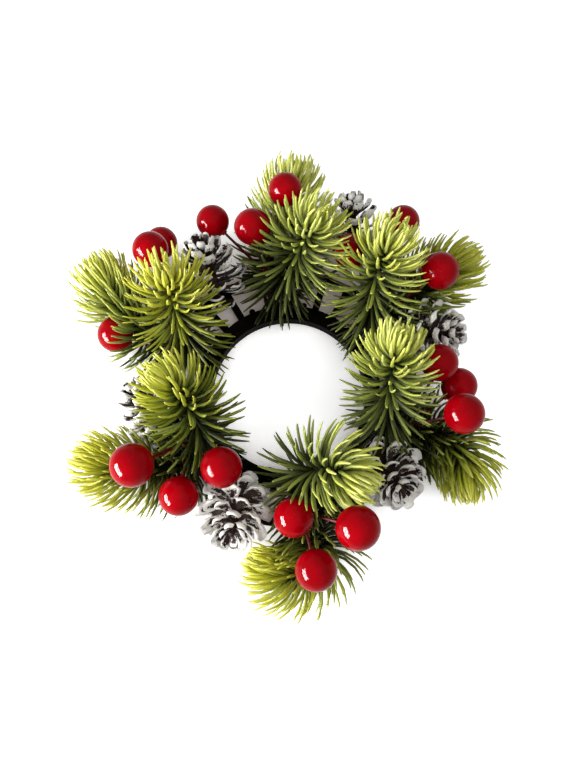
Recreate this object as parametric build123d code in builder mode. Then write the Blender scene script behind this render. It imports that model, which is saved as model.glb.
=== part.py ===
from build123d import *
import os
from dataclasses import dataclass, field
from math import cos, hypot, radians, sin, tan

import numpy as np

# A candle ring: moulded pine sprays, frosted cones and lacquered berries, held by their
# wires in the six cups of a black plastic ring that a pillar candle stands through.
# Millimetres, +Z up. The origin is the centre of the bore, in the plane the ring rests on.

# The candle, and the bore it stands in
candle_diameter = 76.0
candle_gap = 2.0
bore_radius = candle_diameter / 2 + candle_gap

# Base ring: a channel-shaped inner hoop, a flat outer hoop, spokes, cups and locating pips
hoop_width = 7.5
hoop_height = 10.0
hoop_wall = 2.0
hoop_top = 1.8
hoop_round = 1.0
skirt_wall = 1.5
skirt_height = 5.0
rim_gap = 16.5
rim_width = 4.0
rim_height = 5.0
rim_round = 0.8
spoke_width = 3.5
spoke_height = 4.5
spoke_swing = 24.0
cup_count = 6
first_cup_angle = 97.0
cup_diameter = 14.0
cup_wall = 1.25
cup_height = 12.0
cup_floor = 1.5
cup_round = 0.3
cup_bite = 0.5
pip_diameter = 3.2
pip_height = 7.0
pip_swing = 16.5
pip_bite = 0.5

hoop_radius = bore_radius + hoop_width
rim_inner_radius = hoop_radius + rim_gap
rim_radius = rim_inner_radius + rim_width
cup_place_radius = hoop_radius + cup_diameter / 2 - cup_bite
pip_place_radius = hoop_radius + pip_diameter / 2 - pip_bite

# Glue plug in each cup, with a hole for each bundle of wires
plug_gap = 0.05
plug_recess = 1.0
wire_gap = 0.05
branch_diameter = 4.6
branch_round = 1.1
branch_hole_out = 1.6
branch_rise = 1.5
trunk_diameter = 2.6
trunk_hole_out = -0.8
trunk_hole_side = 3.6
stem_wire_diameter = 1.4
cone_hole_out = -4.0

branch_top = cup_height + branch_rise

# Overall reach of the garland outside the bore, and height of its crown
garland_reach = 72.0
crown_height = 60.0

# Pine sprays: a socket, a curved stem and the needles moulded on it
spray_wire_diameter = 1.8
branch_wire_gap = 0.2
branch_wire_out = (spray_wire_diameter + branch_wire_gap) / 2
socket_diameter = 4.2
socket_length = 8.0
socket_depth = 6.0
socket_end_gap = 0.3
stem_diameter = 3.0
needle_count = 46
needle_length = 26.0
needle_end_share = 0.78
needle_width = 1.8
needle_thickness = 1.0
needle_taper_shares = [0.8, 1, 0.45]
needle_curl_shares = (0.25, 0.75)
needle_sink = 0.6
needle_gap = 0.5
needle_root_share = 0.3
needle_shortest_share = 0.45
needle_sample_count = 8
needle_lean = 120.0
needle_curl = 66.0
needle_crowding = 1.25
golden_angle = 137.508
floor_gap = 1.0
stem_sample_shares = [0, 0.25, 0.5, 0.75, 1]

# How far the needles lean from the stem, from the socket's mouth to the stem's tip
needle_lean_shares = ([0, 0.4, 0.7, 0.9, 1], [1, 0.88, 0.72, 0.52, 0.22])

# Where each spray's wire steps off its branch
low_step = 5.0
low_rise = 5.0
high_step = 2.0
high_rise = 6.0

# One row for each cup: the way the wire leaves the cup, then the tip's swing from the cup
# (degrees), its share of the garland's reach and its share of the crown's height
low_spray_shares = [
    (-15, -8, 0.99, 0.33),
    (4, 0, 0.94, 0.37),
    (28, -2, 0.79, 0.33),
    (24, -12, 0.68, 0.32),
    (-21, -15, 0.83, 0.37),
    (0, -8, 0.98, 0.37),
]
high_spray_shares = [
    (-50, -16, 0.46, 0.97),
    (65, 16, 0.53, 0.97),
    (123, 36, 0.15, 1.00),
    (173, 25, 0.17, 0.85),
    (-132, -33, 0.21, 0.97),
    (-50, -15, 0.44, 0.97),
]

# Berries: lacquered balls on wires that fork from one trunk in each cup
berry_diameter = 18.0
berry_collar_diameter = 3.0
berry_collar_height = 0.9
berry_bore_share = 0.85
trunk_way_out = 3.0
trunk_way_side = 7.0
trunk_way_height = 20.0
wire_bend = 3.0
wire_bend_share = 0.45
trunk_sides = [1, -1, 1, -1, -1, 1]

# The fork's swing from its cup, then its shares of the reach and of the crown's height
fork_shares = [
    (3.8, 0.29, 0.42),
    (1.4, 0.31, 0.43),
    (5.6, 0.30, 0.42),
    (-1.4, 0.28, 0.46),
    (-8.0, 0.21, 0.47),
    (3.8, 0.29, 0.42),
]

# Three berries for each cup: swing, share of the reach, share of the height, share of the
# diameter
berry_shares = [
    [(-6, 0.83, 0.63, 0.95), (6, 0.55, 0.73, 1.00), (17, 0.80, 0.37, 0.95)],
    [(0, 0.73, 0.70, 1.03), (19, 0.91, 0.43, 0.95), (29, 0.46, 0.67, 0.92)],
    [(31, 0.46, 0.67, 1.00), (24, 0.62, 0.43, 1.00), (12, 0.59, 0.83, 1.05)],
    [(-5, 0.32, 0.70, 1.03), (17, 0.47, 1.03, 1.10), (1, 0.65, 0.87, 1.05)],
    [(-7, 0.56, 1.00, 1.10), (9, 0.47, 0.67, 1.03), (16, 0.15, 0.87, 1.05)],
    [(-22, 0.81, 0.57, 1.00), (-27, 0.91, 0.22, 0.95), (5, 0.73, 0.37, 1.00)],
]

# Cones: an open pine cone on a short stalk, one beside each cup
cone_length = 36.0
cone_core_diameter = 7.0
cone_core_tip_share = 0.35
cone_core_length_share = 0.72
cone_scale_count = 34
cone_scale_length = 16.5
cone_scale_width = 9.0
cone_scale_thickness = 1.3
scale_first_lean = 110.0
scale_last_lean = 44.0
scale_spread_share = 0.64
cone_room_shares = (0.05, 0.45)
cone_stalk_diameter = 3.4
cone_stalk_length = 4.0
cone_bore_depth = 6.0
cone_wire_lead = 7.0
cone_wire_height = 15.0
cone_way_out = -3.5
cone_way_side = -7.5

# How long and how wide the scales are from the cone's base to its tip
scale_length_shares = ([0, 0.3, 0.7, 1], [0.74, 1, 0.82, 0.44])
scale_width_shares = ([0, 0.3, 0.7, 1], [0.85, 1, 0.78, 0.42])

# Sections of one scale from its root: shares of its length, its rise, width and thickness
scale_section_shares = [
    (0.08, 0, 0.2, 1.0),
    (0.45, 0.03, 0.72, 0.9),
    (0.8, 0.12, 1.0, 1.1),
    (1.0, 0.24, 0.6, 0.7),
]

# One row for each cup: swing, share of the reach and share of the height of the cone's
# base and then of its tip, and the share of the full size that this cone grew to
cone_shares = [
    (-31, 0.62, 0.28, -25, 0.87, 0.45, 0.95),
    (-10, 0.42, 0.27, -19, 0.64, 0.50, 1.00),
    (-15, 0.25, 0.32, -21, 0.48, 0.72, 1.03),
    (-33, 0.25, 0.32, -27, 0.52, 0.73, 1.12),
    (-21, 0.29, 0.30, -37, 0.51, 0.50, 1.04),
    (-30, 0.33, 0.32, -36, 0.62, 0.66, 1.08),
]


def cup_angle(cup):
    return first_cup_angle - cup * 360 / cup_count


def by_cup(cup, out, side, height):
    """A place given from a cup's axis: outwards, sideways and up."""
    turn = radians(cup_angle(cup))
    radius = cup_place_radius + out
    return Vector(
        radius * cos(turn) - side * sin(turn),
        radius * sin(turn) + side * cos(turn),
        height,
    )


def by_share(cup, swing, reach_share, height_share):
    """A place given by its swing from a cup and its shares of the garland's sizes."""
    turn = radians(cup_angle(cup) + swing)
    radius = bore_radius + garland_reach * reach_share
    return Vector(radius * cos(turn), radius * sin(turn), crown_height * height_share)


def bend_radii(points):
    """The bend at each inner corner of a wire, smaller where its runs are short."""
    radii = []
    for before, corner, after in zip(points, points[1:], points[2:]):
        run_in = corner - before
        run_out = after - corner
        half_turn = radians(run_in.get_angle(run_out)) / 2
        shorter = min(run_in.length, run_out.length)
        radii.append(min(wire_bend, wire_bend_share * shorter / tan(half_turn)))
    return radii


@dataclass
class Spray:
    """Where one spray lies: its wire's rise to the socket's mouth, and its stem's arc."""

    name: str
    rise: Edge
    stem: Edge
    needles: list = field(default_factory=list)


def lay_spray(name, cup, wire_out, step, height, places):
    heading, swing, reach_share, height_share = places
    start = by_cup(cup, wire_out, 0, branch_top)
    turn = radians(cup_angle(cup) + heading)
    mouth = start + Vector(step * cos(turn), step * sin(turn), height)
    rise = Edge.make_tangent_arc(start, Vector(0, 0, 1), mouth)
    socket_end = mouth + (rise % 1) * socket_length
    stem_end = by_share(cup, swing, reach_share, height_share)
    stem = Edge.make_tangent_arc(socket_end, rise % 1, stem_end)
    return Spray(name, rise, stem)


def along_spray(spray, share):
    """A point of the socket or the stem, the way it runs and its radius there."""
    distance = share * (socket_length + spray.stem.length)
    if distance < socket_length:
        way = spray.rise % 1
        return (spray.rise @ 1) + way * distance, way, socket_diameter / 2
    stem_share = (distance - socket_length) / spray.stem.length
    return spray.stem @ stem_share, spray.stem % stem_share, stem_diameter / 2


cups = range(cup_count)
low_sprays = []
high_sprays = []
for cup in cups:
    name = f"spray_outer_{cup + 1}"
    wire_out = branch_hole_out + branch_wire_out
    low_sprays.append(
        lay_spray(name, cup, wire_out, low_step, low_rise, low_spray_shares[cup])
    )
    name = f"spray_upper_{cup + 1}"
    wire_out = branch_hole_out - branch_wire_out
    high_sprays.append(
        lay_spray(name, cup, wire_out, high_step, high_rise, high_spray_shares[cup])
    )
sprays = low_sprays + high_sprays

forks = [by_share(cup, *fork_shares[cup]) for cup in cups]
cone_bases = [by_share(cup, *cone_shares[cup][0:3]) for cup in cups]
cone_headings = [
    (by_share(cup, *cone_shares[cup][3:6]) - cone_bases[cup]).normalized() for cup in cups
]


def trunk_points(cup):
    """The berry trunk: up through the plug, out beside the sprays and in to the fork."""
    side = trunk_sides[cup]
    return [
        by_cup(cup, trunk_hole_out, side * trunk_hole_side, cup_floor),
        by_cup(cup, trunk_hole_out, side * trunk_hole_side, branch_top),
        by_cup(cup, trunk_way_out, side * trunk_way_side, trunk_way_height),
        forks[cup],
    ]


def cone_wire_points(cup):
    """The cone's wire: up through the plug, along the cup and into the stalk's bore."""
    base = cone_bases[cup]
    heading = cone_headings[cup]
    bore_end = cone_bore_depth - cone_stalk_length
    return [
        by_cup(cup, cone_hole_out, 0, cup_floor),
        by_cup(cup, cone_hole_out, 0, cone_wire_height),
        by_cup(cup, cone_way_out, cone_way_side, cone_wire_height),
        base - heading * cone_wire_lead,
        base + heading * (bore_end - socket_end_gap),
    ]


# What the needles keep clear of: (owner, start, end, radius) of a round bar
bars = []


def add_bar(owner, points, radius):
    for start, end in zip(points, points[1:]):
        bars.append((owner, tuple(start), tuple(end), radius))


for spray in sprays:
    rise_points = [spray.rise @ u for u in stem_sample_shares]
    stem_points = [spray.stem @ u for u in stem_sample_shares]
    add_bar("branch", rise_points, spray_wire_diameter / 2)
    add_bar(spray.name, [rise_points[-1], stem_points[0]], socket_diameter / 2)
    add_bar(spray.name, stem_points, stem_diameter / 2)
for cup in cups:
    cup_axis = [by_cup(cup, 0, 0, 0), by_cup(cup, 0, 0, cup_height)]
    add_bar("cup", cup_axis, cup_diameter / 2)
    branch_axis = [by_cup(cup, branch_hole_out, 0, height) for height in (0, branch_top)]
    add_bar("branch", branch_axis, branch_diameter / 2)
    add_bar("trunk", trunk_points(cup), trunk_diameter / 2)
    add_bar("cone wire", cone_wire_points(cup), stem_wire_diameter / 2)
    for berry_share in berry_shares[cup]:
        centre = by_share(cup, *berry_share[0:3])
        add_bar("berry wire", [forks[cup], centre], stem_wire_diameter / 2)
        add_bar("berry", [centre, centre], berry_diameter * berry_share[3] / 2)
    size = cone_shares[cup][6]
    span = cone_headings[cup] * (cone_length * size)
    cone_axis = [cone_bases[cup] + span * u for u in cone_room_shares]
    add_bar("cone", cone_axis, cone_scale_length * size)


def gaps_to_bars(points, chosen):
    """Distance from each point to the skin of each bar, as a table."""
    if not chosen:
        return np.full((len(points), 1), garland_reach)
    starts = np.array([bar[1] for bar in chosen])
    spans = np.array([bar[2] for bar in chosen]) - starts
    radii = np.array([bar[3] for bar in chosen])
    squares = (spans**2).sum(axis=1)
    squares[squares == 0] = 1
    offsets = points[:, None, :] - starts[None, :, :]
    along = np.clip((offsets * spans).sum(axis=2) / squares, 0, 1)
    nearest = offsets - along[:, :, None] * spans
    return np.sqrt((nearest**2).sum(axis=2)) - radii


def needle_line(root, along, outward, lean, length):
    """Root, middle and tip of one needle that curls towards the stem's tip."""
    points = [root]
    for share in needle_curl_shares:
        tilt = radians(lean - needle_curl * share)
        heading = along * cos(tilt) + outward * sin(tilt)
        points.append(points[-1] + heading * (length / 2))
    return points


needle_bars = []
sample_shares = np.arange(1, needle_sample_count + 1) / needle_sample_count


def clear_share(owner, line):
    """The share of a needle, from its root, that touches nothing else."""
    root, middle, tip = (np.array(tuple(point)) for point in line)
    points = np.array([
        root + (middle - root) * 2 * u if u <= 0.5 else middle + (tip - middle) * (2 * u - 1)
        for u in sample_shares
    ])
    room = needle_gap + needle_width / 2
    from_axis = np.hypot(points[:, 0], points[:, 1])
    clear = (from_axis > bore_radius + room) & (points[:, 2] > floor_gap + room)
    clear &= (from_axis > rim_radius + room) | (points[:, 2] > hoop_height + room)
    others = [bar for bar in bars if bar[0] != owner]
    clear &= gaps_to_bars(points, others).min(axis=1) > room
    others = [bar for bar in needle_bars if bar[0] != owner]
    clear &= gaps_to_bars(points, others).min(axis=1) > room
    own = [bar for bar in needle_bars if bar[0] == owner]
    near_root = sample_shares < needle_root_share
    clear &= near_root | (gaps_to_bars(points, own).min(axis=1) > needle_gap)
    if clear.all():
        return 1
    return sample_shares[int(np.argmin(clear))] - sample_shares[0]


def lay_needles(spray):
    """Needles in a spiral from the socket's mouth, wide open there and closing at the tip."""
    for place in range(needle_count):
        share = 1 - (1 - (place + 0.5) / needle_count) ** needle_crowding
        centre, along, radius = along_spray(spray, share)
        turn = place * golden_angle
        outward = Plane(origin=centre, z_dir=along).x_dir.rotate(
            Axis((0, 0, 0), along), turn
        )
        root = centre + outward * (radius - needle_sink)
        lean = needle_lean * np.interp(share, *needle_lean_shares)
        length = needle_length * (1 + (needle_end_share - 1) * share)
        share_left = clear_share(
            spray.name, needle_line(root, along, outward, lean, length)
        )
        if share_left < needle_shortest_share:
            continue
        line = needle_line(root, along, outward, lean, length * share_left)
        spray.needles.append((line, along.cross(outward)))
        for start, end in zip(line, line[1:]):
            needle_bars.append((spray.name, tuple(start), tuple(end), needle_width / 2))


for spray in sprays:
    lay_needles(spray)


def section_corners(point, sideways, upward, width, thickness):
    """The corners of a rectangular section, in order."""
    across = sideways * (width / 2)
    up = upward * (thickness / 2)
    return [point - across - up, point + across - up, point + across + up, point - across + up]


def flat_sided(sections):
    """A closed strip of flat faces through rectangular sections that are all parallel."""
    rings = [sections[0], sections[-1]]
    for near, far in zip(sections, sections[1:]):
        for corner in range(4):
            rings.append([near[corner], near[corner - 1], far[corner - 1], far[corner]])
    return Solid(Shell([Face(Wire.make_polygon(ring)) for ring in rings]))


def needle_solid(line, sideways):
    """One flat four-sided needle through its root, middle and blunt tip."""
    upward = (line[-1] - line[0]).normalized().cross(sideways)
    return flat_sided([
        section_corners(point, sideways, upward, needle_width * taper, needle_thickness * taper)
        for point, taper in zip(line, needle_taper_shares)
    ])


def save(part, name):
    part.label = name
    export_step(part, f"parts/{name}.step")


os.makedirs("parts", exist_ok=True)

# Base ring
with BuildPart() as base_ring:
    with BuildSketch(Plane.XZ) as hoop_section:
        with BuildLine():
            Polyline(
                (bore_radius, 0),
                (bore_radius + hoop_wall, 0),
                (bore_radius + hoop_wall, hoop_height - hoop_top),
                (hoop_radius - skirt_wall, hoop_height - hoop_top),
                (hoop_radius - skirt_wall, hoop_height - skirt_height),
                (hoop_radius, hoop_height - skirt_height),
                (hoop_radius, hoop_height),
                (bore_radius, hoop_height),
                close=True,
            )
        make_face()
        fillet(hoop_section.vertices().group_by(Axis.Y)[-1], hoop_round)
    revolve(axis=Axis.Z)
    with BuildSketch(Plane.XZ) as rim_section:
        with Locations((rim_inner_radius, 0)):
            Rectangle(rim_width, rim_height, align=(Align.MIN, Align.MIN))
        fillet(rim_section.vertices().group_by(Axis.Y)[-1], rim_round)
    revolve(axis=Axis.Z)
    spoke_length = rim_gap + skirt_wall / 2 + rim_width / 2
    with BuildSketch():
        for side in (-1, 1):
            start_angle = first_cup_angle + side * spoke_swing
            with PolarLocations(hoop_radius - skirt_wall / 2, cup_count, start_angle):
                Rectangle(spoke_length, spoke_width, align=(Align.MIN, Align.CENTER))
        with PolarLocations(cup_place_radius, cup_count, first_cup_angle):
            Rectangle(
                rim_inner_radius + rim_width / 2 - cup_place_radius,
                spoke_width,
                align=(Align.MIN, Align.CENTER),
            )
    extrude(amount=spoke_height)
    with BuildSketch():
        for side in (-1, 1):
            start_angle = first_cup_angle + side * spoke_swing
            with PolarLocations(hoop_radius - skirt_wall / 2, cup_count, start_angle):
                Rectangle(skirt_wall, spoke_width)
    extrude(amount=hoop_height - hoop_top / 2)
    with BuildSketch():
        for side in (-1, 1):
            start_angle = first_cup_angle + side * pip_swing
            with PolarLocations(pip_place_radius, cup_count, start_angle):
                Circle(pip_diameter / 2)
    extrude(amount=pip_height)
    with BuildSketch():
        with PolarLocations(cup_place_radius, cup_count, first_cup_angle):
            Circle(cup_diameter / 2)
    extrude(amount=cup_height)
    with BuildSketch(Plane.XY.offset(cup_floor)):
        with PolarLocations(cup_place_radius, cup_count, first_cup_angle):
            Circle(cup_diameter / 2 - cup_wall)
    extrude(amount=cup_height, mode=Mode.SUBTRACT)
    fillet(base_ring.edges().group_by(Axis.Z)[-1], cup_round)
save(base_ring.part, "base_ring")

# Glue plugs, one in each cup, with the holes that the wires were set in
plug_radius = cup_diameter / 2 - cup_wall - plug_gap
with BuildPart() as glue_plugs:
    with BuildSketch(Plane.XY.offset(cup_floor)):
        for cup in cups:
            with PolarLocations(cup_place_radius, 1, cup_angle(cup)):
                Circle(plug_radius)
                with Locations((branch_hole_out, 0)):
                    Circle(branch_diameter / 2 + wire_gap, mode=Mode.SUBTRACT)
                with Locations((trunk_hole_out, trunk_sides[cup] * trunk_hole_side)):
                    Circle(trunk_diameter / 2 + wire_gap, mode=Mode.SUBTRACT)
                with Locations((cone_hole_out, 0)):
                    Circle(stem_wire_diameter / 2 + wire_gap, mode=Mode.SUBTRACT)
    extrude(amount=cup_height - cup_floor - plug_recess)
save(glue_plugs.part, "glue_plugs")


def make_branch(cup):
    """A taped bundle in the cup, and the two spray wires that fork from its top."""
    with BuildPart() as branch:
        centre = by_cup(cup, branch_hole_out, 0, cup_floor)
        with BuildSketch(Plane(origin=centre)):
            Circle(branch_diameter / 2)
        extrude(amount=branch_top - cup_floor)
        fillet(branch.edges().group_by(Axis.Z)[-1], branch_round)
        for spray in (low_sprays[cup], high_sprays[cup]):
            with BuildLine() as route:
                Line((spray.rise @ 0) - (spray.rise % 0) * branch_rise, spray.rise @ 0)
                add(spray.rise)
                Line(
                    spray.rise @ 1,
                    (spray.rise @ 1) + (spray.rise % 1) * (socket_depth - socket_end_gap),
                )
            with BuildSketch(Plane(origin=route.line @ 0, z_dir=route.line % 0)):
                Circle(spray_wire_diameter / 2)
            sweep(path=route.line)
    return branch.part


def make_spray(spray):
    """A socket, a curved stem and every needle, moulded in one."""
    needles = [needle_solid(*needle) for needle in spray.needles]
    mouth = Plane(origin=spray.rise @ 1, z_dir=spray.rise % 1)
    with BuildPart() as body:
        with BuildSketch(mouth):
            Circle(socket_diameter / 2)
        extrude(amount=socket_length)
        with BuildSketch(mouth):
            Circle(spray_wire_diameter / 2 + wire_gap)
        extrude(amount=socket_depth, mode=Mode.SUBTRACT)
        with BuildLine() as route:
            add(spray.stem)
        with BuildSketch(Plane(origin=spray.stem @ 0, z_dir=spray.stem % 0)):
            Circle(stem_diameter / 2)
        sweep(path=route.line)
        with Locations(spray.stem @ 1):
            Sphere(stem_diameter / 2)
        add(needles)
    return body.part


def make_cone_wire(cup):
    points = cone_wire_points(cup)
    with BuildPart() as wire:
        with BuildLine() as route:
            FilletPolyline(*points, radius=bend_radii(points))
        with BuildSketch(Plane(origin=route.line @ 0, z_dir=route.line % 0)):
            Circle(stem_wire_diameter / 2)
        sweep(path=route.line)
    return wire.part


def make_berry_stems(cup):
    """The trunk of the berry pick and its three wires."""
    points = trunk_points(cup)
    with BuildPart() as stems:
        with BuildLine() as route:
            FilletPolyline(*points, radius=bend_radii(points))
        with BuildSketch(Plane(origin=route.line @ 0, z_dir=route.line % 0)):
            Circle(trunk_diameter / 2)
        sweep(path=route.line)
        with Locations(forks[cup]):
            Sphere(trunk_diameter / 2)
        for swing, reach_share, height_share, size_share in berry_shares[cup]:
            centre = by_share(cup, swing, reach_share, height_share)
            reach = centre - forks[cup]
            radius = berry_diameter * size_share / 2
            depth = radius * berry_bore_share - socket_end_gap
            with BuildSketch(Plane(origin=forks[cup], z_dir=reach)):
                Circle(stem_wire_diameter / 2)
            extrude(amount=reach.length - radius + depth)
    return stems.part


def make_berry(cup, places):
    """A lacquered ball with a collar round the hole that its wire enters."""
    swing, reach_share, height_share, size_share = places
    centre = by_share(cup, swing, reach_share, height_share)
    inward = (forks[cup] - centre).normalized()
    radius = berry_diameter * size_share / 2
    collar_end = Plane(origin=centre + inward * (radius + berry_collar_height), z_dir=-inward)
    with BuildPart() as berry:
        with Locations(centre):
            Sphere(radius)
        with BuildSketch(collar_end):
            Circle(berry_collar_diameter / 2)
        extrude(amount=2 * berry_collar_height)
        with BuildSketch(collar_end):
            Circle(stem_wire_diameter / 2 + wire_gap)
        extrude(amount=berry_collar_height + radius * berry_bore_share, mode=Mode.SUBTRACT)
    return berry.part


def cone_scale(axis_plane, size, place):
    """One woody scale: a narrow root, a broad spoon and a blunt lip that turns up."""
    share = place / (cone_scale_count - 1)
    along = axis_plane.z_dir
    outward = axis_plane.x_dir.rotate(Axis((0, 0, 0), along), place * golden_angle)
    length = cone_scale_length * size * np.interp(share, *scale_length_shares)
    width = cone_scale_width * size * np.interp(share, *scale_width_shares)
    lean = radians(scale_first_lean + (scale_last_lean - scale_first_lean) * share)
    heading = along * cos(lean) + outward * sin(lean)
    sideways = heading.cross(along).normalized()
    upward = sideways.cross(heading)
    root = axis_plane.origin + along * (cone_length * size * scale_spread_share * share)
    sections = []
    for along_share, rise_share, width_share, thick_share in scale_section_shares:
        point = root + heading * (length * along_share) + upward * (length * rise_share)
        thickness = cone_scale_thickness * size * thick_share
        sections.append(section_corners(point, sideways, upward, width * width_share, thickness))
    return flat_sided(sections)


def make_cone(cup):
    """An open cone: a tapered core, a spiral of scales and a drilled stalk."""
    size = cone_shares[cup][6]
    base = Plane(origin=cone_bases[cup], z_dir=cone_headings[cup])
    scales = [cone_scale(base, size, place) for place in range(cone_scale_count)]
    core_radius = cone_core_diameter * size / 2
    core_length = cone_length * size * cone_core_length_share
    with BuildPart() as cone:
        with BuildSketch(base):
            Circle(core_radius)
        with BuildSketch(base.offset(core_length)):
            Circle(core_radius * cone_core_tip_share)
        loft()
        with BuildSketch(base.offset(-cone_stalk_length)):
            Circle(cone_stalk_diameter / 2)
        extrude(amount=cone_stalk_length + core_radius / 2)
        add(scales)
        with BuildSketch(base.offset(-cone_stalk_length)):
            Circle(stem_wire_diameter / 2 + wire_gap)
        extrude(amount=cone_bore_depth, mode=Mode.SUBTRACT)
    return cone.part


for cup in cups:
    number = cup + 1
    save(make_branch(cup), f"branch_{number}")
    save(make_spray(low_sprays[cup]), f"spray_outer_{number}")
    save(make_spray(high_sprays[cup]), f"spray_upper_{number}")
    save(make_berry_stems(cup), f"berry_stems_{number}")
    for letter, places in zip("abc", berry_shares[cup]):
        save(make_berry(cup, places), f"berry_{number}_{letter}")
    save(make_cone_wire(cup), f"cone_wire_{number}")
    save(make_cone(cup), f"cone_{number}")

print("needles", sum(len(spray.needles) for spray in sprays))
for spray in sprays:
    nearest = min(hypot(*tuple(spray.stem @ u)[0:2]) for u in stem_sample_shares)
    print(spray.name, len(spray.needles), "stem from the bore's axis", round(nearest, 1))
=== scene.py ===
import bmesh
import bpy
import random
from math import cos, radians, sin
from mathutils import Matrix, Vector


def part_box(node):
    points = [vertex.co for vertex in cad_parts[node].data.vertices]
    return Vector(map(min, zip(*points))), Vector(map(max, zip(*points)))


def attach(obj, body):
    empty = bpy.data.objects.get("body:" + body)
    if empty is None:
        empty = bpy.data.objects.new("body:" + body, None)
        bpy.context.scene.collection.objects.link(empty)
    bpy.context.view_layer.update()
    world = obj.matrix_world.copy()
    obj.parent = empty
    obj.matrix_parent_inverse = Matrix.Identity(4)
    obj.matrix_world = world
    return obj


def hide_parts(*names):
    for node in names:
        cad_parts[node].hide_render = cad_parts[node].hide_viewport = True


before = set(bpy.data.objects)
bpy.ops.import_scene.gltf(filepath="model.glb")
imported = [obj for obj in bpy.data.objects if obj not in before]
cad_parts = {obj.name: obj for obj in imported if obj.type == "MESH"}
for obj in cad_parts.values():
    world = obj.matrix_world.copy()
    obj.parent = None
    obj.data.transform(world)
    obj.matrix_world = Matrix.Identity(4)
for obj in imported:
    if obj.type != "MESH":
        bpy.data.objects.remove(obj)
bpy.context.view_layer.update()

mm = 0.001
up = Vector((0, 0, 1))
letters = "abc"
goldenAngle = 137.508
random.seed(24)

# Where everything stands, as in the source of the solids

ring = {
    "cups": 6,
    "firstCupAngle": 97,
    "boreRadius": 40 * mm,
    "hoopRadius": 47.5 * mm,
    "hoopHeight": 10 * mm,
    "rimInnerRadius": 64 * mm,
    "rimRadius": 68 * mm,
    "rimHeight": 5 * mm,
    "cupPlaceRadius": 54 * mm,
    "cupRadius": 7 * mm,
    "cupHeight": 12 * mm,
    "branchTop": 13.5 * mm,
    "reach": 72 * mm,
    "crown": 60 * mm,
}

spraySetting = {
    "lowWireOut": 2.6 * mm,
    "highWireOut": 0.6 * mm,
    "lowStep": 5 * mm,
    "lowRise": 5 * mm,
    "highStep": 2 * mm,
    "highRise": 6 * mm,
    "socketLength": 8 * mm,
    "socketRadius": 2.1 * mm,
    "stemRadius": 1.5 * mm,
    # share of that radius at the stem's foot, and how much less it is at the tip
    "stemFootShare": 1.1,
    "stemTaper": 0.25,
    # way the wire leaves the cup, then the tip's swing, share of the reach and of the height
    "lowShares": [
        (-15, -8, 0.99, 0.33),
        (4, 0, 0.94, 0.37),
        (28, -2, 0.79, 0.33),
        (24, -12, 0.68, 0.32),
        (-21, -15, 0.83, 0.37),
        (0, -8, 0.98, 0.37),
    ],
    "highShares": [
        (-50, -16, 0.46, 0.97),
        (65, 16, 0.53, 0.97),
        (123, 36, 0.15, 1.00),
        (173, 25, 0.17, 0.85),
        (-132, -33, 0.21, 0.97),
        (-50, -15, 0.44, 0.97),
    ],
}

coneSetting = {
    "length": 36 * mm,
    "openRadius": 16.5 * mm,
    "stalkRadius": 1.7 * mm,
    "stalkLength": 4 * mm,
    # share of the stalk that widens into the core
    "stalkFlare": 0.3,
    "coreRadius": 3.5 * mm,
    "coreLengthShare": 0.72,
    # how far along the core, and its share of the radius there
    "coreProfile": [(0, 0.8), (0.1, 1), (0.4, 0.9), (0.7, 0.7), (0.9, 0.5), (1, 0.35)],
    "coreSides": 12,
    # needles bend round this stretch of the cone, at this share of its open radius
    "bendFrom": 0.2,
    "bendTo": 0.8,
    "bendShare": 0.72,
    # swing, share of the reach and of the height of the base, then of the tip, then the size
    "shares": [
        (-31, 0.62, 0.28, -25, 0.87, 0.45, 0.95),
        (-10, 0.42, 0.27, -19, 0.64, 0.50, 1.00),
        (-15, 0.25, 0.32, -21, 0.48, 0.72, 1.03),
        (-33, 0.25, 0.32, -27, 0.52, 0.73, 1.12),
        (-21, 0.29, 0.30, -37, 0.51, 0.50, 1.04),
        (-30, 0.33, 0.32, -36, 0.62, 0.66, 1.08),
    ],
}


def cupAngle(cup):
    return ring["firstCupAngle"] - cup * 360 / ring["cups"]


def byCup(cup, out, height):
    turn = radians(cupAngle(cup))
    radius = ring["cupPlaceRadius"] + out
    return Vector((radius * cos(turn), radius * sin(turn), height))


def byShare(cup, swing, reachShare, heightShare):
    turn = radians(cupAngle(cup) + swing)
    radius = ring["boreRadius"] + ring["reach"] * reachShare
    return Vector((radius * cos(turn), radius * sin(turn), ring["crown"] * heightShare))


def tangentArc(start, heading, end):
    # an arc from start that sets off along heading: gives point and direction at a share
    chord = end - start
    side = (chord - heading * chord.dot(heading)).normalized()
    half = heading.angle(chord)
    radius = chord.length / (2 * sin(half))
    centre = start + side * radius

    def at(share):
        turn = 2 * half * share
        point = centre + (heading * sin(turn) - side * cos(turn)) * radius
        return point, heading * cos(turn) + side * sin(turn)

    return at, 2 * half * radius


def interpolate(share, table):
    for (nearShare, nearValue), (farShare, farValue) in zip(table, table[1:]):
        if share <= farShare:
            part = (share - nearShare) / (farShare - nearShare)
            return nearValue + (farValue - nearValue) * part
    return table[-1][1]


def jitter(size):
    return random.uniform(-size, size)


# Materials, made of nodes


def startMaterial(name, roughness, specular):
    material = bpy.data.materials.new(name)
    material.use_nodes = True
    shader = material.node_tree.nodes["Principled BSDF"]
    shader.inputs["Roughness"].default_value = roughness
    shader.inputs["Specular IOR Level"].default_value = specular
    return material, shader


def node(owner, kind, **settings):
    # a new node: settings are its own values, or its inputs' by name with _ for a space
    made = owner.node_tree.nodes.new("ShaderNode" + kind)
    for key, value in settings.items():
        inputName = key.replace("_", " ")
        if inputName in made.inputs:
            made.inputs[inputName].default_value = value
        else:
            setattr(made, key, value)
    return made


def link(owner, source, target):
    owner.node_tree.links.new(source, target)


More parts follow.
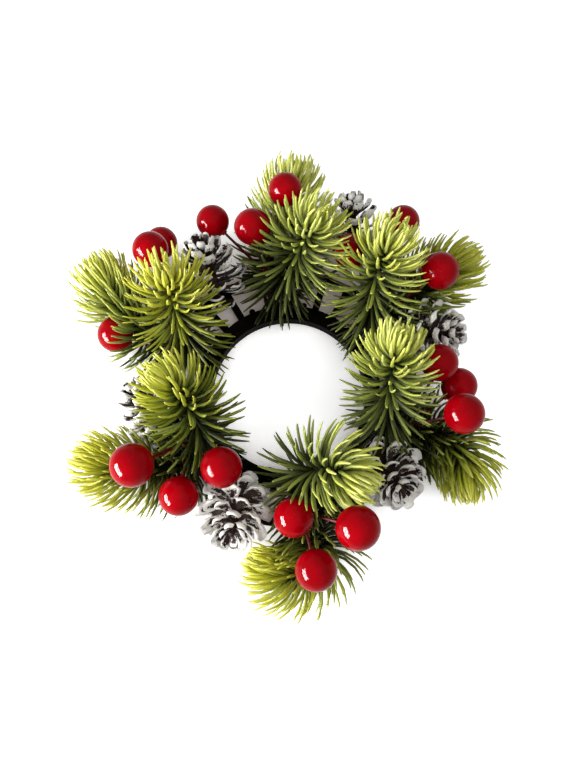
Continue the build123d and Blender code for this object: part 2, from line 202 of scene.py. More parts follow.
def feed(owner, socket, value):
    # a link, a colour or a number into a socket
    if isinstance(value, bpy.types.NodeSocket):
        link(owner, value, socket)
    elif isinstance(value, tuple):
        socket.default_value = (*value, 1)
    else:
        socket.default_value = value


def maths(owner, operation, first, second, clamp=False):
    made = node(owner, "Math", operation=operation, use_clamp=clamp)
    feed(owner, made.inputs[0], first)
    feed(owner, made.inputs[1], second)
    return made.outputs[0]


def times(owner, first, second, clamp=False):
    return maths(owner, "MULTIPLY", first, second, clamp)


def plus(owner, first, second):
    return maths(owner, "ADD", first, second)


def mapRange(owner, value, **ends):
    made = node(owner, "MapRange", **ends)
    link(owner, value, made.inputs["Value"])
    return made.outputs["Result"]


def mixColour(owner, factor, first, second, blend="MIX"):
    made = node(owner, "Mix", data_type="RGBA", blend_type=blend)
    feed(owner, made.inputs[0], factor)
    feed(owner, made.inputs[6], first)
    feed(owner, made.inputs[7], second)
    return made.outputs[2]


def colourRamp(owner, factor, stops):
    ramp = node(owner, "ValToRGB")
    while len(ramp.color_ramp.elements) < len(stops):
        ramp.color_ramp.elements.new(0.5)
    for element, (place, colour) in zip(ramp.color_ramp.elements, stops):
        element.position = place
        element.color = (*colour, 1)
    link(owner, factor, ramp.inputs["Fac"])
    return ramp.outputs["Color"]


def attribute(owner, name):
    return node(owner, "Attribute", attribute_name=name).outputs["Fac"]


def grain(owner, scale, detail, roughness=0.55):
    texture = node(owner, "TexNoise", Scale=scale, Detail=detail, Roughness=roughness)
    place = node(owner, "TexCoord").outputs["Object"]
    link(owner, place, texture.inputs["Vector"])
    return texture.outputs["Fac"]


def bump(owner, shader, source, height, strength):
    made = node(owner, "Bump", Strength=strength, Distance=height)
    link(owner, source, made.inputs["Height"])
    link(owner, made.outputs["Normal"], shader.inputs["Normal"])


# In every look, gloss is roughness and specular, and bump is height and strength. The
# grains, such as fibre, dust or cloud, are scale, detail and sometimes roughness

pineLook = {
    "gloss": (0.36, 0.07),
    # how much lighter a needle is at its tip, at the fresh end of its spray, and by its tone;
    # towards the root and the spray's foot this is partly the needles' own colour and partly
    # painted shade
    "alongShare": 0.44,
    "freshShare": 0.98,
    "toneShare": 0.26,
    # the painted shade at its root, deep among the other needles, and how far along it that
    # fades
    "paintedRootShade": 0.45,
    "rootReach": 0.5,
    "shades": [
        (0.0, (0.009, 0.012, 0.001)),
        (0.25, (0.042, 0.056, 0.004)),
        (0.5, (0.23, 0.27, 0.026)),
        (0.78, (0.54, 0.55, 0.034)),
        (1.0, (0.84, 0.84, 0.13)),
    ],
    "grey": (0.28, 0.33, 0.12),
    "greyShare": 0.45,
    # what some sprays lean to, and how strongly
    "tints": {"pale": ((0.70, 0.80, 0.32), 0.5), "warm": ((0.86, 0.68, 0.05), 1)},
    # a painted highlight along each needle's two edges, which shows more where a needle is
    # light
    "lowEdgeHighlight": (0.72, 0.80, 0.60),
    "freshEdgeHighlight": (0.92, 0.93, 0.44),
    "edgeHighlightShare": 0.36,
    "edgeHighlightShadeShare": 0.38,
    "speck": (900, 3),
    "speckShare": 0.25,
    "bump": (0.08 * mm, 0.4),
}


def makePineMaterial():
    look = pineLook
    material, shader = startMaterial("pineNeedles", *look["gloss"])
    along = attribute(material, "along")
    fresh = attribute(material, "fresh")
    tone = attribute(material, "tone")
    edge = attribute(material, "edge")
    # lighter towards each needle's tip and the spray's fresh end, partly the needles' own
    # colour and partly painted shade at the root and foot
    shade = times(material, along, look["alongShare"])
    shade = plus(material, shade, times(material, fresh, look["freshShare"]))
    shade = plus(material, shade, times(material, tone, look["toneShare"]))
    shade = plus(material, shade, attribute(material, "light"))
    # painted shade: the needle is darkened towards its root, deep among the others
    root = mapRange(material, along, From_Max=look["rootReach"], To_Min=look["paintedRootShade"])
    shade = times(material, shade, root, clamp=True)
    colour = colourRamp(material, shade, look["shades"])
    dull = times(material, tone, times(material, shade, look["greyShare"]))
    colour = mixColour(material, dull, colour, look["grey"])
    for name, (tint, strength) in look["tints"].items():
        part = times(material, attribute(material, name), strength)
        part = times(material, part, shade, clamp=True)
        colour = mixColour(material, part, colour, tint)
    # painted highlight: the needle's two edges are lightened, more where the needle is lighter
    rim = plus(material, times(material, shade, look["edgeHighlightShadeShare"]), look["edgeHighlightShare"])
    rim = times(material, times(material, edge, edge), rim)
    highlightColour = mixColour(material, fresh, look["lowEdgeHighlight"], look["freshEdgeHighlight"])
    colour = mixColour(material, rim, colour, highlightColour)
    speck = grain(material, *look["speck"])
    colour = mixColour(material, look["speckShare"], colour, speck, "OVERLAY")
    link(material, colour, shader.inputs["Base Color"])
    bump(material, shader, speck, *look["bump"])
    return material


coneLook = {
    "specular": 0.06,
    "woodRoughness": 0.55,
    "frostRoughness": 0.8,
    "fibre": (260, 5),
    "wood": [(0.35, (0.010, 0.005, 0.004)), (0.7, (0.046, 0.026, 0.020))],
    "frostGrey": (0.80, 0.76, 0.70),
    "frostWhite": (0.95, 0.94, 0.91),
    # the frost's ragged border: its spots, how far they reach, and where and how sharp it is
    "spots": (420, 5, 0.8),
    "spotStrength": 2.4,
    "borderPlace": 0.46,
    "borderSharpness": 12,
    "frostThickness": 0.7,
    "bump": (0.25 * mm, 0.8),
}


def makeConeMaterial():
    look = coneLook
    material, shader = startMaterial(
        "frostedConeScales", look["woodRoughness"], look["specular"]
    )
    fibre = grain(material, *look["fibre"])
    wood = colourRamp(material, fibre, look["wood"])
    spots = maths(material, "SUBTRACT", grain(material, *look["spots"]), 0.5)
    spots = times(material, spots, look["spotStrength"])
    patch = plus(material, attribute(material, "frost"), spots)
    patch = maths(material, "SUBTRACT", patch, look["borderPlace"])
    patch = times(material, patch, look["borderSharpness"], clamp=True)
    white = mixColour(material, fibre, look["frostGrey"], look["frostWhite"])
    link(material, mixColour(material, patch, wood, white), shader.inputs["Base Color"])
    relief = plus(material, times(material, patch, look["frostThickness"]), fibre)
    bump(material, shader, relief, *look["bump"])
    rough = mapRange(
        material, patch, To_Min=look["woodRoughness"], To_Max=look["frostRoughness"]
    )
    link(material, rough, shader.inputs["Roughness"])
    return material


berryLook = {
    "gloss": (0.08, 0.045),
    "cloud": (90, 2),
    "lacquer": [(0.3, (0.27, 0.000, 0.003)), (0.7, (0.37, 0.000, 0.004))],
    "specks": (1500, 2),
    "speckStops": [(0.70, (0, 0, 0)), (0.78, (1, 1, 1))],
    "speckShare": 0.6,
    "speckColour": (0.75, 0.06, 0.06),
    "ripple": (260, 1),
    "bump": (0.12 * mm, 0.25),
}


def makeBerryMaterial():
    look = berryLook
    material, shader = startMaterial("berryLacquer", *look["gloss"])
    colour = colourRamp(material, grain(material, *look["cloud"]), look["lacquer"])
    specks = colourRamp(material, grain(material, *look["specks"]), look["speckStops"])
    specks = times(material, specks, look["speckShare"])
    colour = mixColour(material, specks, colour, look["speckColour"])
    link(material, colour, shader.inputs["Base Color"])
    bump(material, shader, grain(material, *look["ripple"]), *look["bump"])
    return material


stemLook = {
    "gloss": (0.5, 0.15),
    "crinkle": (700, 3),
    "paper": [(0.35, (0.06, 0.001, 0.002)), (0.7, (0.17, 0.002, 0.006))],
    "bump": (0.15 * mm, 0.6),
}


def makeStemMaterial():
    # crinkled paper wound round the wire
    material, shader = startMaterial("redStemWrap", *stemLook["gloss"])
    crinkle = grain(material, *stemLook["crinkle"])
    colour = colourRamp(material, crinkle, stemLook["paper"])
    link(material, colour, shader.inputs["Base Color"])
    bump(material, shader, crinkle, *stemLook["bump"])
    return material


tapeLook = {
    "gloss": (0.48, 0.4),
    "fibre": (600, 3),
    "tape": [(0.3, (0.035, 0.050, 0.014)), (0.75, (0.095, 0.105, 0.035))],
    "turnScale": 95,
    "turnDistortion": 2.5,
    "turnDetail": 2,
    "crease": [(0.0, (0.55, 0.5, 0.45)), (0.25, (1, 1, 1))],
    "bump": (0.2 * mm, 0.7),
}


def makeTapeMaterial():
    # waxed florist's tape, with a crease at each of its uneven turns
    look = tapeLook
    material, shader = startMaterial("floristTape", *look["gloss"])
    wave = node(
        material, "TexWave", bands_direction="Z", Scale=look["turnScale"],
        Distortion=look["turnDistortion"], Detail=look["turnDetail"],
    )
    place = node(material, "TexCoord").outputs["Object"]
    link(material, place, wave.inputs["Vector"])
    turns = wave.outputs["Fac"]
    colour = colourRamp(material, grain(material, *look["fibre"]), look["tape"])
    crease = colourRamp(material, turns, look["crease"])
    colour = mixColour(material, 1.0, colour, crease, "MULTIPLY")
    link(material, colour, shader.inputs["Base Color"])
    bump(material, shader, turns, *look["bump"])
    return material


ringLook = {
    "specular": 0.001,
    "shinyRoughness": 0.16,
    "dullRoughness": 0.42,
    # where on the wear's grain the gloss goes from shiny to dull
    "wear": (120, 3),
    "shinyUpTo": 0.35,
    "dullFrom": 0.75,
    "dust": (650, 4, 0.7),
    "plastic": [(0.5, (0.0035, 0.0028, 0.0022)), (0.85, (0.014, 0.011, 0.008))],
    "ripple": (160, 2),
    "bump": (0.25 * mm, 0.3),
}


def makeRingMaterial():
    # moulded black plastic, glossy with a faint ripple and dust
    look = ringLook
    material, shader = startMaterial(
        "blackMouldedPlastic", look["shinyRoughness"], look["specular"]
    )
    colour = colourRamp(material, grain(material, *look["dust"]), look["plastic"])
    link(material, colour, shader.inputs["Base Color"])
    rough = mapRange(
        material, grain(material, *look["wear"]),
        From_Min=look["shinyUpTo"], From_Max=look["dullFrom"],
        To_Min=look["shinyRoughness"], To_Max=look["dullRoughness"],
    )
    link(material, rough, shader.inputs["Roughness"])
    bump(material, shader, grain(material, *look["ripple"]), *look["bump"])
    return material


glueLook = {
    "gloss": (0.28, 0.5),
    "cloud": (220, 3),
    "milk": [(0.3, (0.62, 0.58, 0.46)), (0.7, (0.80, 0.78, 0.70))],
    "scatterShare": 0.25,
    "scatterDepth": (1.5 * mm, 1.2 * mm, 0.8 * mm),
    "bump": (0.5 * mm, 0.6),
}


def makeGlueMaterial():
    material, shader = startMaterial("meltGlue", *glueLook["gloss"])
    cloud = grain(material, *glueLook["cloud"])
    colour = colourRamp(material, cloud, glueLook["milk"])
    link(material, colour, shader.inputs["Base Color"])
    shader.inputs["Subsurface Weight"].default_value = glueLook["scatterShare"]
    shader.inputs["Subsurface Radius"].default_value = glueLook["scatterDepth"]
    bump(material, shader, cloud, *glueLook["bump"])
    return material


pine = makePineMaterial()
coneWood = makeConeMaterial()
tape = makeTapeMaterial()
nodeLooks = {
    "base_ring": makeRingMaterial(),
    "glue_plugs": makeGlueMaterial(),
    "branch": tape,
    "cone_wire": tape,
    "berry_stems": makeStemMaterial(),
    "berry": makeBerryMaterial(),
}


def dress(nodeName, kind):
    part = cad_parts[nodeName]
    part.data.materials.clear()
    part.data.materials.append(nodeLooks[kind])


for kind in ("base_ring", "glue_plugs"):
    dress(kind, kind)
for number in range(1, ring["cups"] + 1):
    for kind in ("branch", "berry_stems", "cone_wire"):
        dress(f"{kind}_{number}", kind)
    for letter in letters:
        dress(f"berry_{number}_{letter}", "berry")
print("materials made")

# What the soft needles bend round

balls = []
for number in range(1, ring["cups"] + 1):
    for letter in letters:
        low, high = (Vector(corner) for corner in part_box(f"berry_{number}_{letter}"))
        balls.append(((low + high) / 2, (high - low).length / (2 * 3**0.5)))

coneAxes = []
for cup, row in enumerate(coneSetting["shares"]):
    base = byShare(cup, *row[0:3])
    heading = (byShare(cup, *row[3:6]) - base).normalized()
    coneAxes.append((base, heading, row[6]))


def pushOut(point, room):
    # the point moved out of berries, cones, cups, the ring and the table
    for centre, radius in balls:
        offset = point - centre
        if offset.length < radius + room:
            point = centre + offset.normalized() * (radius + room)
    for base, heading, size in coneAxes:
        length = coneSetting["length"] * size
        along = (point - base).dot(heading)
        along = min(
            max(along, coneSetting["bendFrom"] * length), coneSetting["bendTo"] * length
        )
        nearest = base + heading * along
        offset = point - nearest
        thick = coneSetting["openRadius"] * size * coneSetting["bendShare"]
        if offset.length < thick:
            point = nearest + offset.normalized() * thick
    radius = point.to_2d().length
    if ring["boreRadius"] - room < radius < ring["hoopRadius"] + room:
        point.z = max(point.z, ring["hoopHeight"] + room)
    if ring["rimInnerRadius"] - room < radius < ring["rimRadius"] + room:
        point.z = max(point.z, ring["rimHeight"] + room)
    for cup in range(ring["cups"]):
        offset = point - byCup(cup, 0, point.z)
        if offset.length < ring["cupRadius"] + room and point.z < ring["cupHeight"] + room:
            point.z = ring["cupHeight"] + room
    point.z = max(point.z, room)
    return point


def toMesh(bm, name):
    mesh = bpy.data.meshes.new(name)
    bm.to_mesh(mesh)
    bm.free()
    return mesh


def join(bm, part):
    mesh = toMesh(part, "joined")
    bm.from_mesh(mesh)
    bpy.data.meshes.remove(mesh)


def addObject(name, data):
    made = bpy.data.objects.new(name, data)
    bpy.context.scene.collection.objects.link(made)
    return made


def finishPiece(bm, name, nodeName, material):
    for face in bm.faces:
        face.smooth = True
    mesh = toMesh(bm, name)
    mesh.materials.append(material)
    piece = addObject(name, mesh)
    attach(piece, "root")
    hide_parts(nodeName)


def makeTube(sides, rings, layerNames):
    # a closed unit tube from z 0 to 1 with that many rings of corners
    bm = bmesh.new()
    bmesh.ops.create_cone(
        bm, cap_ends=True, segments=sides, radius1=0.5, radius2=0.5, depth=1,
        matrix=Matrix.Translation((0, 0, 0.5)),
    )
    upright = [e for e in bm.edges if abs(e.verts[0].co.z - e.verts[1].co.z) > 0.5]
    bmesh.ops.subdivide_edges(bm, edges=upright, cuts=rings - 2)
    for layerName in layerNames:
        bm.verts.layers.float.new(layerName)
    return bm


# Pine sprays

needleSetting = {
    "layers": ("along", "edge", "fresh", "tone", "pale", "warm", "light"),
    "sides": 6,
    "length": 26 * mm,
    "width": 1.9 * mm,
    "thickness": 1.4 * mm,
    # how far along each ring of the needle lies, and its share of the width there
    "rings": [(0, 0.7), (0.2, 0.95), (0.45, 1.0), (0.7, 0.93), (0.9, 0.68), (1.0, 0.32)],
    "lowPerMillimetre": 5.2,
    "highPerMillimetre": 4.7,
    # above 1 the needles stand closer towards the stem's tip
    "lowCrowding": 1.25,
    "highCrowding": 1.1,
    # these run from the foot of the socket to the stem's tip: shares of the length and the
    # width, and how many degrees each needle leans from the stem and curls back towards it
    "lengths": [(0, 0.95), (0.35, 1.0), (0.8, 0.96), (0.92, 0.84), (1, 0.6)],
    "lowWidths": [(0, 0.96), (1, 1.0)],
    "highWidths": [(0, 0.76), (0.45, 0.86), (0.8, 1), (1, 1)],
    "lowLeans": [(0, 120), (0.4, 106), (0.7, 88), (0.9, 66), (1, 32)],
    "highLeans": [(0, 146), (0.35, 122), (0.65, 96), (0.88, 70), (1, 36)],
    "lowCurls": [(0, 44), (0.5, 68), (1, 74)],
    "highCurls": [(0, 8), (0.35, 24), (0.65, 54), (1, 66)],
    # share of the needles' length, by cup
    "lowSizes": [1, 1, 1, 1, 1, 1],
    "highSizes": [1, 1, 0.95, 0.98, 0.96, 1],
    # how much each needle differs from these, in degrees, as a factor or as a slope
    "spinJitter": 7,
    "leanJitter": 6,
    "curlFactors": (0.8, 1.15),
    "lengthFactors": (0.88, 1.04),
    "twistJitter": 0.25,
    # how much of a push the rest of a needle keeps, and how deep a tip may still lie
    "yielding": 0.6,
    "deepestTip": 1.2 * mm,
    "sink": 0.5 * mm,
    "floorGap": 0.1 * mm,
    # how much paler than warm each spray is, and how much lighter, by cup; that lightness is
    # partly the spray's own tone and partly painted light for how brightly it is lit
    "lowLooks": [(0.6, 0.1), (0, 0), (-0.05, -0.04), (-0.1, 0.02), (-0.15, 0.02), (0.3, 0.02)],
    "highLooks": [(0.6, 0), (0.4, 0.12), (0.5, 0.05), (0.6, 0.04), (0, 0.02), (-0.1, 0.15)],
    "darkness": 0.46,
    # how slowly the colour turns fresh towards the stem's tip; the darker foot is partly the
    # needles' own colour and partly painted shade
    "lowFreshness": 1.1,
    "highFreshness": 1.4,
}

stemSetting = {
    "sides": 10,
    "rings": 30,
    # share of the radius: full from the socket's foot on, and rounded off at the tip
    "taper": [(0, 1), (0.93, 1), (0.97, 0.75), (1, 0.35)],
    "freshShare": 0.5,
    "tone": 0.3,
}


def makeNeedleShape():
    setting = needleSetting
    rings = setting["rings"]
    bm = makeTube(setting["sides"], len(rings), setting["layers"])
    along = bm.verts.layers.float["along"]
    edge = bm.verts.layers.float["edge"]
    for vert in bm.verts:
        place = round(vert.co.z * (len(rings) - 1))
        vert[along], taper = rings[place]
        # marks where the painted highlight along the edges goes
        vert[edge] = 1 if abs(vert.co.x) > 0.45 else 0  # the two outermost corners
        vert.co.x *= taper * setting["width"]
        vert.co.y *= taper * setting["thickness"]
        vert.co.z = place
    return toMesh(bm, "needleShape")


def needleLine(root, stemWay, outward, lean, curl, twist, length):
    # the needle's middle line: it curls towards the stem's tip and bends round what it meets
    points = [root]
    shares = [share for share, width in needleSetting["rings"]]
    aside = stemWay.cross(outward)
    away = Vector((0, 0, 0))
    for near, far in zip(shares, shares[1:]):
        middle = (near + far) / 2
        tilt = lean - curl * middle
        heading = stemWay * cos(tilt) + outward * sin(tilt) + aside * (twist * middle) + away
        step = (far - near) * length
        free = points[-1] + heading.normalized() * step
        pushed = pushOut(free.copy(), needleSetting["thickness"])
        pushed = points[-1] + (pushed - points[-1]).normalized() * step
        away += (pushed - free) / step * needleSetting["yielding"]
        points.append(pushed)
    return points, aside


def layStem(cup, kind):
    # gives a way to find any point of the socket and stem, and their length
    setting = spraySetting
    heading, swing, reachShare, heightShare = setting[kind + "Shares"][cup]
    start = byCup(cup, setting[kind + "WireOut"], ring["branchTop"])
    turn = radians(cupAngle(cup) + heading)
    step = setting[kind + "Step"]
    mouth = start + Vector((step * cos(turn), step * sin(turn), setting[kind + "Rise"]))
    mouthWay = tangentArc(start, up, mouth)[0](1)[1]
    socketLength = setting["socketLength"]
    tip = byShare(cup, swing, reachShare, heightShare)
    stemAt, stemLength = tangentArc(mouth + mouthWay * socketLength, mouthWay, tip)
    total = socketLength + stemLength

    def at(share):
        distance = share * total
        if distance < socketLength:
            return mouth + mouthWay * distance, mouthWay, setting["socketRadius"]
        share = (distance - socketLength) / stemLength
        radiusShare = setting["stemFootShare"] - setting["stemTaper"] * share
        return (*stemAt(share), setting["stemRadius"] * radiusShare)

    return at, total


def growNeedles(cup, kind, at, total):
    # the middle line of each needle, in a spiral round the stem, with its place and tone
    setting = needleSetting
    count = round(total / mm * setting[kind + "PerMillimetre"])
    needles = []
    for place in range(count):
        share = 1 - (1 - (place + 0.5) / count) ** setting[kind + "Crowding"]
        centre, stemWay, radius = at(share)
        level = stemWay.orthogonal().normalized()
        spin = radians(place * goldenAngle + jitter(setting["spinJitter"]))
        outward = Matrix.Rotation(spin, 3, stemWay) @ level
        lean = interpolate(share, setting[kind + "Leans"]) + jitter(setting["leanJitter"])
        curl = interpolate(share, setting[kind + "Curls"])
        curl *= random.uniform(*setting["curlFactors"])
        length = setting["length"] * interpolate(share, setting["lengths"])
        length *= setting[kind + "Sizes"][cup] * random.uniform(*setting["lengthFactors"])
        root = centre + outward * (radius - setting["sink"])
        twist = jitter(setting["twistJitter"])
        points, aside = needleLine(
            root, stemWay, outward, radians(lean), radians(curl), twist, length
        )
        depth = (pushOut(points[-1].copy(), 0) - points[-1]).length
        if depth <= setting["deepestTip"]:
            needles.append((points, aside, share, random.random()))
    return needles


def makeSpray(cup, kind, needleShape):
    setting = needleSetting
    at, total = layStem(cup, kind)
    needles = growNeedles(cup, kind, at, total)
    bm = bmesh.new()
    for needle in needles:
        bm.from_mesh(needleShape)
    fresh = bm.verts.layers.float["fresh"]
    tone = bm.verts.layers.float["tone"]
    verts = list(bm.verts)
    each = len(verts) // len(needles)
    for index, (points, aside, share, shade) in enumerate(needles):
        width = interpolate(share, setting[kind + "Widths"])
        for vert in verts[index * each:(index + 1) * each]:
            place = round(vert.co.z)
            before = points[max(place - 1, 0)]
            after = points[min(place + 1, len(points) - 1)]
            way = (after - before).normalized()
            flat = (aside - way * aside.dot(way)).normalized()
            offset = flat * vert.co.x + way.cross(flat) * vert.co.y
            vert.co = points[place] + offset * width
            vert.co.z = max(vert.co.z, setting["floorGap"])
            vert[fresh] = share ** setting[kind + "Freshness"]
            vert[tone] = shade
    join(bm, makeStem(at))
    # each spray's tint and lightness, the lightness partly painted light
    pale, light = setting[kind + "Looks"][cup]
    for vert in bm.verts:
        vert[bm.verts.layers.float["pale"]] = max(pale, 0)
        vert[bm.verts.layers.float["warm"]] = max(-pale, 0)
        vert[bm.verts.layers.float["light"]] = light - setting["darkness"]
    return bm


def makeStem(at):
    # socket and stem in one tube
    setting = stemSetting
    last = setting["rings"] - 1
    tube = makeTube(setting["sides"], setting["rings"], needleSetting["layers"])
    fresh = tube.verts.layers.float["fresh"]
    tone = tube.verts.layers.float["tone"]
    for vert in tube.verts:
        share = round(vert.co.z * last) / last
        centre, way, radius = at(share)
        radius *= interpolate(share, setting["taper"])
        level = way.orthogonal().normalized()
        vert.co = centre + (level * vert.co.x + way.cross(level) * vert.co.y) * 2 * radius
        vert[fresh] = setting["freshShare"] * share
        vert[tone] = setting["tone"]
    return tube


needleShape = makeNeedleShape()
for cup in range(ring["cups"]):
    for kind, where in (("low", "outer"), ("high", "upper")):
        bm = makeSpray(cup, kind, needleShape)
        nodeName = f"spray_{where}_{cup + 1}"
        finishPiece(bm, f"pine_{where}_{cup + 1}", nodeName, pine)
print("sprays made")

# Frosted cones

scaleSetting = {
    "count": 42,
    "length": 17.5 * mm,
    "width": 8.6 * mm,
    "thickness": 1.25 * mm,
    # from the cone's foot to its tip
    "firstLean": 114,
    "lastLean": 46,
    "spreadShare": 0.64,
    "lengthShares": [(0, 0.74), (0.3, 1), (0.7, 0.82), (1, 0.44)],
    "widthShares": [(0, 0.85), (0.3, 1), (0.7, 0.78), (1, 0.42)],
    # how much each scale differs from these, in degrees or as a factor
    "spinJitter": 5,
    "leanJitter": 5,
    "rollJitter": 9,
    "lengthFactors": (0.94, 1.06),
    "widthFactors": (0.92, 1.08),
    "across": 5,
    "along": 6,
    # width, rise and thickness from the scale's root to its lip
    "outline": [(0, 0.16), (0.4, 0.36), (0.62, 0.68), (0.8, 0.96), (0.9, 1.0), (1, 0.72)],
    "rise": [(0, 0), (0.5, 0.01), (0.8, 0.08), (1, 0.22)],
    "body": [(0, 0.9), (0.6, 0.7), (0.82, 1.1), (0.95, 1.6), (1, 1.0)],
    # how far the sides of the lip turn up, stay back and grow thin
    "sideRise": 0.13,
    "sideSetback": 0.07,
    "sideThinning": 0.55,
    # how near a place is to the rim, and how white that makes the two faces
    "rimAcross": 0.55,
    "rimAlong": 0.5,
    "innerFrost": [(0, 0), (0.7, 0.14), (0.84, 0.55), (1, 1)],
    "outerFrost": [(0, 0), (0.45, 0.12), (0.75, 0.62), (1, 1)],
    # how much more or less frost each cone has, by cup, and each scale
    "coats": [-0.22, -0.02, 0.08, 0.1, -0.26, -0.24],
    "coatRange": (-0.16, 0.24),
}


def makeScaleShape():
    setting = scaleSetting
    bm = bmesh.new()
    bmesh.ops.create_grid(
        bm, x_segments=setting["across"], y_segments=setting["along"], size=0.5
    )
    bmesh.ops.solidify(bm, geom=bm.faces[:], thickness=1)
    bmesh.ops.recalc_face_normals(bm, faces=bm.faces)
    bm.verts.layers.float.new("frost")
    return toMesh(bm, "scaleShape")


def makeCone(cup, scaleShape):
    base, heading, size = coneAxes[cup]
    setting = scaleSetting
    count = setting["count"]
    level = heading.orthogonal().normalized()
    bm = bmesh.new()
    for place in range(count):
        bm.from_mesh(scaleShape)
    frost = bm.verts.layers.float["frost"]
    verts = list(bm.verts)
    each = len(verts) // count
    topHeight = max(vert.co.z for vert in verts[:each])
    for place in range(count):
        share = place / (count - 1)
        spin = radians(place * goldenAngle + jitter(setting["spinJitter"]))
        outward = Matrix.Rotation(spin, 3, heading) @ level
        length = setting["length"] * size * interpolate(share, setting["lengthShares"])
        width = setting["width"] * size * interpolate(share, setting["widthShares"])
        length *= random.uniform(*setting["lengthFactors"])
        width *= random.uniform(*setting["widthFactors"])
        lean = setting["firstLean"] + (setting["lastLean"] - setting["firstLean"]) * share
        lean = radians(lean + jitter(setting["leanJitter"]))
        way = heading * cos(lean) + outward * sin(lean)
        aside = way.cross(heading).normalized()
        roll = radians(jitter(setting["rollJitter"]))
        aside = (Matrix.Rotation(roll, 3, way) @ aside).normalized()
        upward = aside.cross(way)
        root = base + heading * (coneSetting["length"] * size * setting["spreadShare"] * share)
        coat = setting["coats"][cup] + random.uniform(*setting["coatRange"])
        for vert in verts[place * each:(place + 1) * each]:
            across, along = vert.co.x * 2, vert.co.y + 0.5
            inner = vert.co.z > topHeight - 0.5
            half = width / 2 * interpolate(along, setting["outline"])
            rise = length * interpolate(along, setting["rise"])
            rise += setting["sideRise"] * width * across**2 * along
            body = setting["thickness"] * size * interpolate(along, setting["body"])
            body *= 1 - setting["sideThinning"] * across**2
            height = rise + (body / 2 if inner else -body / 2)
            reach = length * (along - setting["sideSetback"] * across**2 * along)
            vert.co = root + way * reach + aside * (half * across) + upward * height
            sideways = abs(across) * setting["rimAcross"] + along * setting["rimAlong"]
            rim = max(along, sideways)
            white = interpolate(rim, setting["innerFrost" if inner else "outerFrost"])
            vert[frost] = white + coat
    join(bm, makeCore(base, heading, size))
    return bm


def makeCore(base, heading, size):
    # the stalk, then the core that the scales stand on
    setting = coneSetting
    level = heading.orthogonal().normalized()
    aside = heading.cross(level)
    core = setting["coreRadius"] * size
    length = setting["length"] * setting["coreLengthShare"] * size
    stalk = setting["stalkLength"]
    profile = [
        (-stalk, setting["stalkRadius"]),
        (-stalk * setting["stalkFlare"], setting["stalkRadius"]),
    ]
    profile += [(length * reach, core * share) for reach, share in setting["coreProfile"]]
    tube = makeTube(setting["coreSides"], len(profile), ("frost",))
    for vert in tube.verts:
        reach, radius = profile[round(vert.co.z * (len(profile) - 1))]
        vert.co = base + heading * reach + (level * vert.co.x + aside * vert.co.y) * 2 * radius
    return tube


scaleShape = makeScaleShape()
for cup in range(ring["cups"]):
    bm = makeCone(cup, scaleShape)
    finishPiece(bm, f"frosted_cone_{cup + 1}", f"cone_{cup + 1}", coneWood)
print("cones made")

# Floor, light and camera

studio = {
    "floorSize": 6,
    "floorDrop": 0.1 * mm,
    "floorRoughness": 0.9,
    "floorColour": (0.74, 0.74, 0.74),
    # the glow that the camera sees near the ring and far off, and between which distances
    "floorGlow": 0.79,
    "farGlow": 1.0,
    "fadeFrom": 0.3,
    "fadeTo": 1.1,
    # its colour deep under the sprays, how far off things shade it, and how much light
    # still leaves it dark or makes it plain
    "floorShade": (0.13, 0.10, 0.08),
    "shadeReach": 0.06,
    "darkUpTo": 0.28,
    "plainFrom": 0.42,
    "roomLight": 0.1,
    # place, width, height and power
    "key": ((-0.68, -0.28, 0.37), 0.5, 0.4, 12),
    "fill": ((0.34, -0.02, 0.84), 0.7, 0.7, 4.0),
    "window": ((-0.80, -0.34, 0.34), 0.8, 0.36, 170),
}

view = {
    "place": (-0.0004, -0.06256, 0.39392),
    "target": (-0.0004, 0.0069, 0),
    "lens": 35.25,
    "nearest": 0.01,
}


def cameraSeen(owner):
    # one where the camera, a reflection or glass looks, and nothing for other light
    path = node(owner, "LightPath")
    seen = path.outputs["Is Camera Ray"]
    for name in ("Is Glossy Ray", "Is Transmission Ray"):
        seen = maths(owner, "MAXIMUM", seen, path.outputs[name])
    return seen


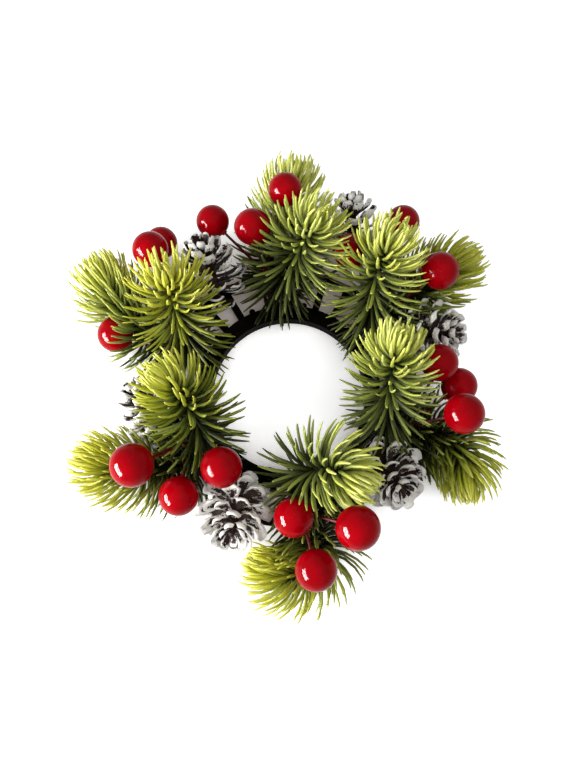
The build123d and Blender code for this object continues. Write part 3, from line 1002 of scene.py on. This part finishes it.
def makeFloor():
    bm = bmesh.new()
    bmesh.ops.create_grid(bm, x_segments=1, y_segments=1, size=studio["floorSize"] / 2)
    floor = addObject("floor", toMesh(bm, "floor"))
    floor.location.z = -studio["floorDrop"]
    material, shader = startMaterial("paleFloor", studio["floorRoughness"], 0)
    shader.inputs["Base Color"].default_value = (*studio["floorColour"], 1)
    # painted shadow in the floor's glow: darker deep under the sprays, where no light gets in
    shelter = node(material, "AmbientOcclusion", samples=8, Distance=studio["shadeReach"])
    lit = mapRange(
        material, shelter.outputs["AO"],
        From_Min=studio["darkUpTo"], From_Max=studio["plainFrom"],
    )
    colour = mixColour(material, lit, studio["floorShade"], (1, 1, 1))
    link(material, colour, shader.inputs["Emission Color"])
    # and white far off, where the lamps no longer reach
    place = node(material, "TexCoord").outputs["Object"]
    distance = node(material, "VectorMath", operation="LENGTH")
    link(material, place, distance.inputs[0])
    glow = mapRange(
        material, distance.outputs["Value"],
        From_Min=studio["fadeFrom"], From_Max=studio["fadeTo"],
        To_Min=studio["floorGlow"], To_Max=studio["farGlow"],
    )
    glow = times(material, cameraSeen(material), glow)
    link(material, glow, shader.inputs["Emission Strength"])
    floor.data.materials.append(material)


def makeRoom():
    world = bpy.data.worlds.new("room")
    bpy.context.scene.world = world
    world.use_nodes = True
    background = world.node_tree.nodes["Background"]
    background.inputs["Color"].default_value = (1, 1, 1, 1)
    level = mapRange(world, cameraSeen(world), To_Min=studio["roomLight"], To_Max=1)
    link(world, level, background.inputs["Strength"])


def turnTo(item, place, target):
    item.location = place
    way = Vector(target) - Vector(place)
    item.rotation_euler = way.to_track_quat("-Z", "Y").to_euler()


def addLamp(name):
    place, width, height, power = studio[name]
    light = bpy.data.lights.new(name, "AREA")
    light.shape = "RECTANGLE"
    light.size = width
    light.size_y = height
    light.energy = power
    lamp = addObject(name, light)
    turnTo(lamp, place, (0, 0, 0))
    return lamp


makeFloor()
makeRoom()
addLamp("key").visible_glossy = False
addLamp("fill").visible_glossy = False
# the window gives the gloss its highlights, and no other light
addLamp("window").visible_diffuse = False

camera = addObject("camera", bpy.data.cameras.new("camera"))
camera.data.lens = view["lens"]
camera.data.clip_start = view["nearest"]
turnTo(camera, view["place"], view["target"])
bpy.context.scene.camera = camera
bpy.context.scene.view_settings.view_transform = "Standard"
print("studio made")
